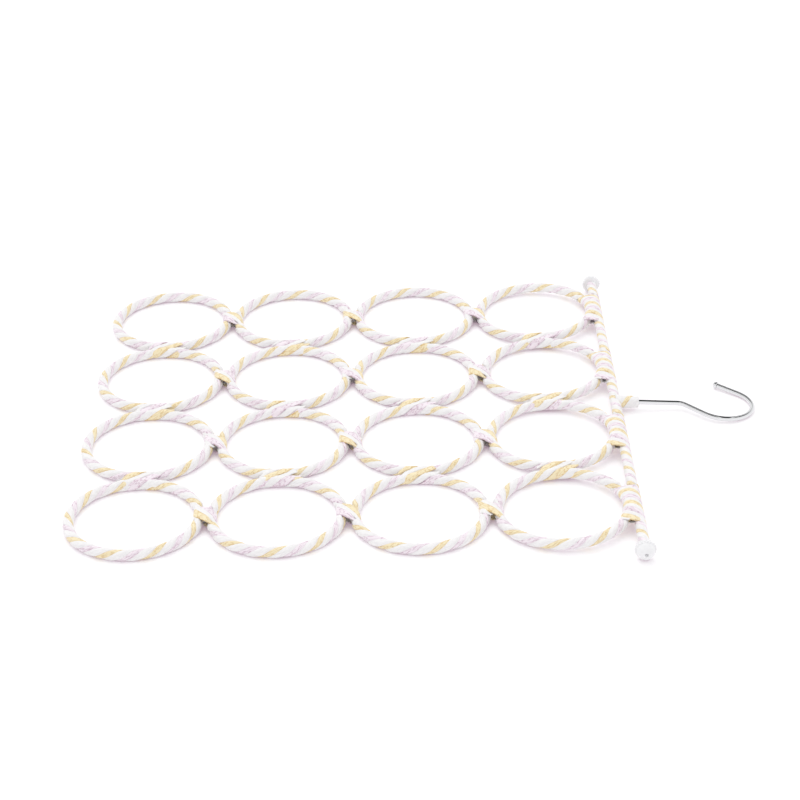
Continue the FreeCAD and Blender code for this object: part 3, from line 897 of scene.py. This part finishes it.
# Operators, one for each piece or group of like pieces
class HANGER_OT_ring_ribbons(bpy.types.Operator):
    """Winds four ribbons on the wire of every ring"""

    bl_idname = "hanger.ring_ribbons"
    bl_label = "Ring Ribbons"

    def execute(self, context):
        look = context.scene.hanger_ribbons
        core = ROPE_RADIUS - look.rope_thickness / 2
        lean = look.lashing_slant * row_gap(ROWS[1])
        short = asin((look.lashing_length / 2 - lean) / RING_RADIUS)
        long = asin((look.lashing_length / 2 + lean) / RING_RADIUS)
        at_bar = asin(context.scene.hanger_bar.lashing_length / 2 / RING_RADIUS)
        for row in ROWS:
            back, front = (at_bar, at_bar) if row == 1 else (long, short)
            arcs = [(back, pi - short), (pi + long, tau - front)]
            if row == ROWS[-1]:
                arcs = [(back, tau - front)]
            for number, column in enumerate(COLUMNS):
                middle, towards, up = ring_frame(row, column)
                phase = RING_ROW_TURN * row + RING_COLUMN_TURN * number
                runs = [ring_run(middle, towards, *arc, phase, look.ring_turns, core) for arc in arcs]
                values = {
                    "Ribbon Width": look.rope_width,
                    "Ribbon Thickness": look.rope_thickness,
                    "Tuck Hold": TUCK,
                    "Tuck Run": SQUEEZE_RUN,
                    "Tuck Depth": ROPE_SQUEEZE,
                    "Seed": 1.7 * row + 0.43 * number,
                }
                piece = wound(f"ring_ribbons_{row}{column}", runs, up, values)
                dressed(piece, f"row_{row}", f"ring_wrap_{row}{column}")
        return {"FINISHED"}


class HANGER_OT_row_lashings(bpy.types.Operator):
    """Winds the lashings that hold a row of rings to the row before it"""

    bl_idname = "hanger.row_lashings"
    bl_label = "Row Lashings"

    def execute(self, context):
        look = context.scene.hanger_ribbons
        core = ROPE_RADIUS + ROW_PROUD - look.lashing_thickness / 2
        half = look.lashing_length / 2
        values = {
            "Strands": look.lashing_strands,
            "Ribbon Width": look.lashing_width,
            "Ribbon Thickness": look.lashing_thickness,
            "Arch": 35.0,
            "White Gain": look.lashing_gain,
            "Belly": look.lashing_belly,
            "End Slant": look.lashing_slant,
            "End Rake": look.lashing_rake,
            "Tuck Run": 3.0 * MM,
            "Tuck Depth": 0.6 * MM,
            "Tuck Thinning": 0.3,
        }
        for row in ROWS[1:]:
            gap = row_gap(row)
            spare = look.lashing_slant * (gap + ROPE_RADIUS) + look.lashing_rake * ROPE_RADIUS
            for number, column in enumerate(COLUMNS):
                middle = (JOINTS[f"fold_{row}"] + JOINTS[f"roll_{row}"]) / 2
                middle.y = box_middle(f"row_tie_{row}{column}").y
                stray = LASHING_STRAY * sin(2.3 * row + 1.7 * number)
                phase = LASHING_START + LASHING_SWAP * ((row + number) % 2) + stray
                run = straight_run(
                    middle, ALONG_BAR, half, phase, look.lashing_pitch, core,
                    lambda place: gap + ROW_FOLLOW * spread_of(place), spare, LASHING_STEP,
                )
                values["Seed"] = 20.0 + 2.3 * row + 0.71 * number
                piece = wound(f"row_lashing_{row}{column}", [run], UPRIGHT, values)
                dressed(piece, f"tie_row_{row}", f"row_tie_{row}{column}")
        return {"FINISHED"}


class HANGER_OT_side_lashings(bpy.types.Operator):
    """Winds the lashings that hold neighbouring rings of a row together"""

    bl_idname = "hanger.side_lashings"
    bl_label = "Side Lashings"

    def execute(self, context):
        look = context.scene.hanger_ribbons
        gap = (SIDE_TIE_Y[1] - SIDE_TIE_Y[0]) / 2 - RING_RADIUS
        core = ROPE_RADIUS + SIDE_PROUD - look.lashing_thickness / 2
        for row in ROWS:
            runs = []
            for number, y in enumerate(SIDE_TIE_Y):
                middle, towards, up = ring_frame(row, COLUMNS[number])
                middle.y = y
                phase = SIDE_COLUMN_TURN * number + SIDE_ROW_TURN * row
                runs.append(
                    straight_run(
                        middle, towards, look.side_length / 2, phase, look.side_pitch, core,
                        lambda place: gap + spread_of(place), 0.0, LASHING_STEP,
                    )
                )
            values = {
                "Strands": look.side_strands,
                "Ribbon Width": look.lashing_width,
                "Ribbon Thickness": look.lashing_thickness,
                "Arch": 35.0,
                "White Gain": look.lashing_gain,
                "Tuck Run": 6.0 * MM,
                "Tuck Depth": 1.6 * MM,
                "Tuck Thinning": 0.6,
                "Seed": 40.0 + 3.1 * row,
            }
            piece = wound(f"side_lashings_{row}", runs, up, values)
            dressed(piece, f"row_{row}", f"side_ties_{row}")
        return {"FINISHED"}


class HANGER_OT_bar_ribbons(bpy.types.Operator):
    """Winds the ribbons on the bar, between the lashings of the first row"""

    bl_idname = "hanger.bar_ribbons"
    bl_label = "Bar Ribbons"

    def execute(self, context):
        close = context.scene.hanger_bar
        bar = JOINTS["fold_1"]
        low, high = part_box("bar_wrap")
        stops = [low.y]
        for column in COLUMNS:
            y = box_middle(f"bar_tie_{column}").y
            stops += [y - close.lashing_length / 2, y + close.lashing_length / 2]
        stops.append(high.y)
        core = BAR_WRAP_RADIUS - close.thickness / 2
        runs = []
        for start, end in zip(stops[::2], stops[1::2]):
            middle = Vector((bar.x, (start + end) / 2, bar.z))
            half = (end - start) / 2 + TUCK
            phase = middle.y / close.pitch
            runs.append(straight_run(middle, ALONG_BAR, half, phase, close.pitch, core, 0.0, 0.0, BAR_STEP))
        values = {
            "Ribbon Width": close.width,
            "Ribbon Thickness": close.thickness,
            "Arch": 25.0,
            "White Gain": close.white_gain,
            "Tuck Hold": TUCK,
            "Tuck Run": SQUEEZE_RUN,
            "Tuck Depth": BAR_SQUEEZE,
            "Crease Depth": close.crease_depth,
            "Seed": 60.0,
        }
        dressed(wound("bar_ribbons", runs, UPRIGHT, values), "bar", "bar_wrap")
        return {"FINISHED"}


class HANGER_OT_bar_lashings(bpy.types.Operator):
    """Winds the full lashings that hang the first row of rings on the bar"""

    bl_idname = "hanger.bar_lashings"
    bl_label = "Bar Lashings"

    def execute(self, context):
        look, close = context.scene.hanger_ribbons, context.scene.hanger_bar
        bar, ring = JOINTS["fold_1"], JOINTS["roll_1"]
        aside = (ring - bar).normalized()
        gap = (ring - bar).length / 2
        core = BAR_WRAP_RADIUS + BAR_PROUD - close.thickness / 2
        half = close.lashing_length / 2
        spare = close.lashing_rake * ROPE_RADIUS
        values = {
            "Ribbon Width": close.lashing_width,
            "Ribbon Thickness": close.thickness,
            "Arch": 30.0,
            "White Gain": close.lashing_gain,
            "Belly": close.belly,
            "End Rake": close.lashing_rake,
            "Overrun": 1.5 * MM,
            "Wander": 1.6 * look.wander,
            "Tuck Run": 12.0 * MM,
            "Tuck Depth": 0.2 * MM,
            "Tuck Thinning": -0.35,
            "Crease Depth": close.crease_depth,
        }
        for number, column in enumerate(COLUMNS):
            middle = (bar + ring) / 2
            middle.y = box_middle(f"bar_tie_{column}").y
            phase = close.lashing_phase + PAIR_TURN * (number // 2) + PAIR_STRAY * (number % 2)
            run = straight_run(
                middle, ALONG_BAR, half, phase, close.lashing_pitch, core,
                lambda place: gap + BAR_FOLLOW * spread_of(place), spare, BAR_LASHING_STEP,
                lambda place: BAR_FOLLOW * spread_of(place) * aside,
            )
            values["Seed"] = 70.0 + number
            piece = wound(f"bar_lashing_{column}", [run], ALONG_BAR.cross(aside), values)
            dressed(piece, "tie_row_1", f"bar_tie_{column}")
        return {"FINISHED"}


class HANGER_OT_neck_ribbon(bpy.types.Operator):
    """Winds the ribbon on the neck that holds the hook's socket to the bar"""

    bl_idname = "hanger.neck_ribbon"
    bl_label = "Neck Ribbon"

    def execute(self, context):
        close = context.scene.hanger_bar
        low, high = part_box("hook_neck_wrap")
        bar = JOINTS["fold_1"]
        out = SWIVEL_AXIS.normalized()
        start = (low.x - bar.x) / out.x
        end = (high.x - bar.x) / out.x
        core = (high.y - low.y) / 2 - NECK_THICKNESS / 2
        middle = bar + out * (start + end) / 2

        def taper(place):
            return core - NECK_TAPER * (place / (end - start) + 0.5)

        run = straight_run(
            middle, out, (end - start) / 2, NECK_START, close.neck_pitch, taper, 0.0, NECK_SPARE, NECK_STEP,
        )
        values = {
            "Ribbon Width": NECK_RIBBON,
            "Ribbon Thickness": NECK_THICKNESS,
            "Arch": 40.0,
            "Overrun": NECK_SPARE,
            "Crease Depth": close.crease_depth,
            "Third Ribbon": ribbons()[1],
            "Seed": 80.0,
        }
        piece = wound("neck_ribbon", [run], out.cross(ALONG_BAR), values)
        dressed(piece, "bar", "hook_neck_wrap")
        return {"FINISHED"}


class HANGER_OT_end_caps(bpy.types.Operator):
    """Turns the glossy end caps of the bar, with ribs round their collars and a dimple in their domes"""

    bl_idname = "hanger.end_caps"
    bl_label = "End Caps"

    def execute(self, context):
        look = context.scene.hanger_caps
        finish = hard_material(
            "cap_gloss", look.colour, srgb(246, 246, 248),
            metallic=0.0, roughness=0.22, spread=0.05, grain=300.0, bump_depth=0.02 * MM,
        )
        shader = finish.node_tree.nodes["Principled BSDF"]
        shader.inputs["Coat Weight"].default_value = 0.15
        shader.inputs["Coat Roughness"].default_value = 0.04
        for end, sign in (("front", -1), ("back", 1)):
            low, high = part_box(f"finial_{end}")
            middle = (low + high) / 2
            root = high.y if sign < 0 else low.y
            seat = (high.z - low.z) / 2 - look.rib_height
            outline = self.outline(seat, high.y - low.y - COLLAR)
            mesh = self.turned(f"end_cap_{end}", outline, middle, root, sign)
            values = {
                "Count": look.notches,
                "Radius": seat,
                "Rib Height": look.rib_height,
                "Rib Length": RIB_LENGTH,
                "Centre": Vector((middle.x, root + sign * COLLAR / 2, middle.z)),
                "Finish": finish,
            }
            piece = settled(new_piece(f"end_cap_{end}", mesh), tree_of(rib_tree), values)
            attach(piece, "bar")
            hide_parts(f"finial_{end}")
        return {"FINISHED"}

    def outline(self, seat, dome):
        """Radius and height of the points of a cap's outline, from its bore round to its dimple's bottom."""
        points = [(BORE, 0.0), (seat - 0.5 * MM, 0.0), (seat - 0.15 * MM, 0.15 * MM), (seat, 0.5 * MM)]
        points += [(seat, COLLAR - 0.4 * MM), (seat - 0.08 * MM, COLLAR - 0.1 * MM)]
        points.append((seat - 0.2 * MM, COLLAR))
        shoulder = seat - 0.25 * MM
        sweep = asin(DIMPLE / shoulder)
        for k in range(DOME_STEPS + 1):
            lean = (pi / 2 - sweep) * k / DOME_STEPS
            points.append((shoulder * cos(lean), COLLAR + dome * sin(lean)))
        rim = points[-1][1]
        points += [(DIMPLE - 0.12 * MM, rim - 0.02 * MM), (DIMPLE - 0.25 * MM, rim - 0.3 * MM)]
        points += [(DIMPLE - 0.3 * MM, rim - DIMPLE_DEPTH), (0.0, rim - DIMPLE_DEPTH - 0.1 * MM)]
        return points

    def turned(self, name, outline, middle, root, sign):
        """A mesh that is a cap's outline turned about the bar."""
        shape = bmesh.new()
        bearings = [tau * s / CAP_SIDES for s in range(CAP_SIDES)]
        rings = []
        for reach, place in outline:
            y = root + sign * place
            if reach == 0:
                rings.append([shape.verts.new((middle.x, y, middle.z))] * CAP_SIDES)
                continue
            spots = [(middle.x + reach * cos(a), y, middle.z + reach * sin(a)) for a in bearings]
            rings.append([shape.verts.new(spot) for spot in spots])
        for inner, outer in zip(rings, rings[1:]):
            for s in range(CAP_SIDES):
                corners = [inner[s], inner[s - 1], outer[s - 1], outer[s]]
                shape.faces.new(list(dict.fromkeys(corners)))
        bmesh.ops.recalc_face_normals(shape, faces=shape.faces)
        mesh = bpy.data.meshes.new(name)
        shape.to_mesh(mesh)
        shape.free()
        return mesh


class HANGER_OT_metal_finish(bpy.types.Operator):
    """Gives the hook, its socket, the bar and the ring wires their metals"""

    bl_idname = "hanger.metal_finish"
    bl_label = "Metal Finish"

    def execute(self, context):
        chrome = hard_material(
            "hook_chrome", srgb(232, 233, 236), srgb(214, 216, 220),
            metallic=1.0, roughness=0.06, spread=0.03, grain=900.0, bump_depth=0.01 * MM,
        )
        # The wires' dark red-brown is partly their own finish and partly painted shade, darkening the
        # lashings' mouths where they show
        steel = hard_material(
            "wire_steel", srgb(78, 38, 34), srgb(50, 24, 22),
            metallic=0.4, roughness=0.42, spread=0.1, grain=700.0, bump_depth=0.03 * MM,
        )
        for node, piece in frame["nodes"].items():
            finish = None
            if node == "hook":
                finish = chrome
            elif node.startswith(("ring_wire", "bar_rod", "hook_socket")):
                finish = steel
            if finish:
                piece.data.materials.clear()
                piece.data.materials.append(finish)
        return {"FINISHED"}


class HANGER_OT_stage(bpy.types.Operator):
    """Sets the pale floor, the soft light and the camera"""

    bl_idname = "hanger.stage"
    bl_label = "Stage"

    def execute(self, context):
        scene = context.scene
        set_up = scene.hanger_stage
        scene.view_settings.view_transform = "Standard"
        self.floor(set_up)
        self.light(scene, set_up)
        self.camera(scene, set_up)
        return {"FINISHED"}

    def floor(self, set_up):
        """A wide floor, white to the eye away from shadows, with painted rosy shade in its narrow places."""
        mesh = bpy.data.meshes.new("floor")
        corners = [(x * FLOOR_REACH, y * FLOOR_REACH, 0) for x, y in ((-1, -1), (1, -1), (1, 1), (-1, 1))]
        mesh.from_pydata(corners, [], [(0, 1, 2, 3)])
        floor = new_piece("floor", mesh)
        material, r, shader = new_material("floor_pale")
        r.tree.nodes.remove(shader)
        plain = r.add("ShaderNodeBsdfDiffuse", {"Color": (*set_up.floor, 1.0)})
        shadowed = r.add("ShaderNodeBsdfDiffuse", {"Color": FLOOR_SHADE})
        # The floor's glow dims towards rose where ambient occlusion finds a narrow place: painted shade
        opening = r.add("ShaderNodeAmbientOcclusion", {"Distance": NOOK_REACH}, samples=16).outputs["AO"]
        painted_nook_shade = r.line(opening, -NOOK_RATE, NOOK_RATE * NOOK_OPEN, clamp=True)
        glow_under_painted_shade = r.join(*(r.line(painted_nook_shade, -loss, 1.0) for loss in NOOK_LOSS))
        glow = r.add("ShaderNodeEmission", {"Color": glow_under_painted_shade, "Strength": FLOOR_GLOW})
        white = r.add("ShaderNodeAddShader", {0: shadowed.outputs[0], 1: glow.outputs[0]})
        mixed = r.add("ShaderNodeMixShader", {0: r.sight(), 1: plain.outputs[0], 2: white.outputs[0]})
        r.put(r.tree.nodes["Material Output"].inputs["Surface"], mixed.outputs[0])
        mesh.materials.append(material)

    def light(self, scene, set_up):
        """A broad soft light from above and behind, and light from all round."""
        lamp = bpy.data.lights.new("key", "SUN")
        lamp.energy = set_up.key
        lamp.angle = KEY_SPREAD
        key = bpy.data.objects.new("key", lamp)
        key.rotation_euler = KEY_TILT
        key.visible_glossy = False
        scene.collection.objects.link(key)
        world = bpy.data.worlds.new("studio")
        world.use_nodes = True
        scene.world = world
        r = Recipe(world.node_tree)
        mirrored = r.add("ShaderNodeLightPath").outputs["Is Glossy Ray"]
        ground = world.node_tree.nodes["Background"]
        ground.inputs["Color"].default_value = (1.0, 1.0, 1.0, 1.0)
        heading = r.add("ShaderNodeTexCoord").outputs["Generated"]
        facing = r.vector("DOT_PRODUCT", heading, DARK_SIDE)
        dark = r.line(facing, DARK_RATE, -DARK_RATE * DARK_EDGE, clamp=True)
        across = r.add("ShaderNodeSeparateXYZ", {0: heading}).outputs["X"]
        strip = r.math("FRACT", r.line(across, 1 / STRIP_SPACING, STRIP_SHIFT + 0.5))
        strip = r.math("ABSOLUTE", strip - 0.5)
        dark = dark * r.line(strip, STRIP_RATE, -STRIP_RATE * STRIP_HALF, clamp=True)
        dark = dark * mirrored
        bright = r.line(r.sight(), 1.0 - set_up.fill, set_up.fill)
        r.put(ground.inputs["Strength"], bright - dark * DARK_DEPTH)

    def camera(self, scene, set_up):
        """The camera at the photograph's viewing angle."""
        az, el = set_up.azimuth, set_up.elevation
        ahead = Vector((sin(az) * cos(el), cos(az) * cos(el), -sin(el)))
        right = Vector((cos(az), -sin(az), 0))
        up = right.cross(ahead)
        turned = Matrix.Rotation(set_up.roll, 3, ahead)
        right, up = turned @ right, turned @ up
        data = bpy.data.cameras.new("camera")
        data.lens = set_up.lens
        data.sensor_width = 36
        camera = bpy.data.objects.new("camera", data)
        frame_of = Matrix((right, up, -ahead)).transposed().to_4x4()
        frame_of.translation = Vector(set_up.target) - ahead * set_up.distance
        camera.matrix_world = frame_of
        scene.collection.objects.link(camera)
        scene.camera = camera


OPERATORS = (
    HANGER_OT_stage,
    HANGER_OT_ring_ribbons,
    HANGER_OT_row_lashings,
    HANGER_OT_side_lashings,
    HANGER_OT_bar_ribbons,
    HANGER_OT_bar_lashings,
    HANGER_OT_neck_ribbon,
    HANGER_OT_end_caps,
    HANGER_OT_metal_finish,
)
SETTINGS = {
    "hanger_ribbons": RibbonSettings,
    "hanger_bar": BarSettings,
    "hanger_caps": CapSettings,
    "hanger_stage": StageSettings,
}


class HANGER_PT_sidebar(bpy.types.Panel):
    """Lists the hanger's settings and the steps that dress it"""

    bl_idname = "HANGER_PT_sidebar"
    bl_label = "Scarf Hanger"
    bl_space_type = "VIEW_3D"
    bl_region_type = "UI"
    bl_category = "Scarf Hanger"

    def draw(self, context):
        for name in SETTINGS:
            group = getattr(context.scene, name)
            column = self.layout.box().column()
            for key in group.__annotations__:
                column.prop(group, key)
        for operator in OPERATORS:
            self.layout.operator(operator.bl_idname)


def register():
    for kind in (*SETTINGS.values(), *OPERATORS, HANGER_PT_sidebar):
        bpy.utils.register_class(kind)
    for name, group in SETTINGS.items():
        setattr(bpy.types.Scene, name, PointerProperty(type=group))


def unregister():
    for name in SETTINGS:
        delattr(bpy.types.Scene, name)
    for kind in reversed((*SETTINGS.values(), *OPERATORS, HANGER_PT_sidebar)):
        bpy.utils.unregister_class(kind)


def main():
    """Dresses the hanger."""
    register()
    for operator in OPERATORS:
        family, name = operator.bl_idname.split(".")
        getattr(getattr(bpy.ops, family), name)()


if __name__ == "__main__":
    main()
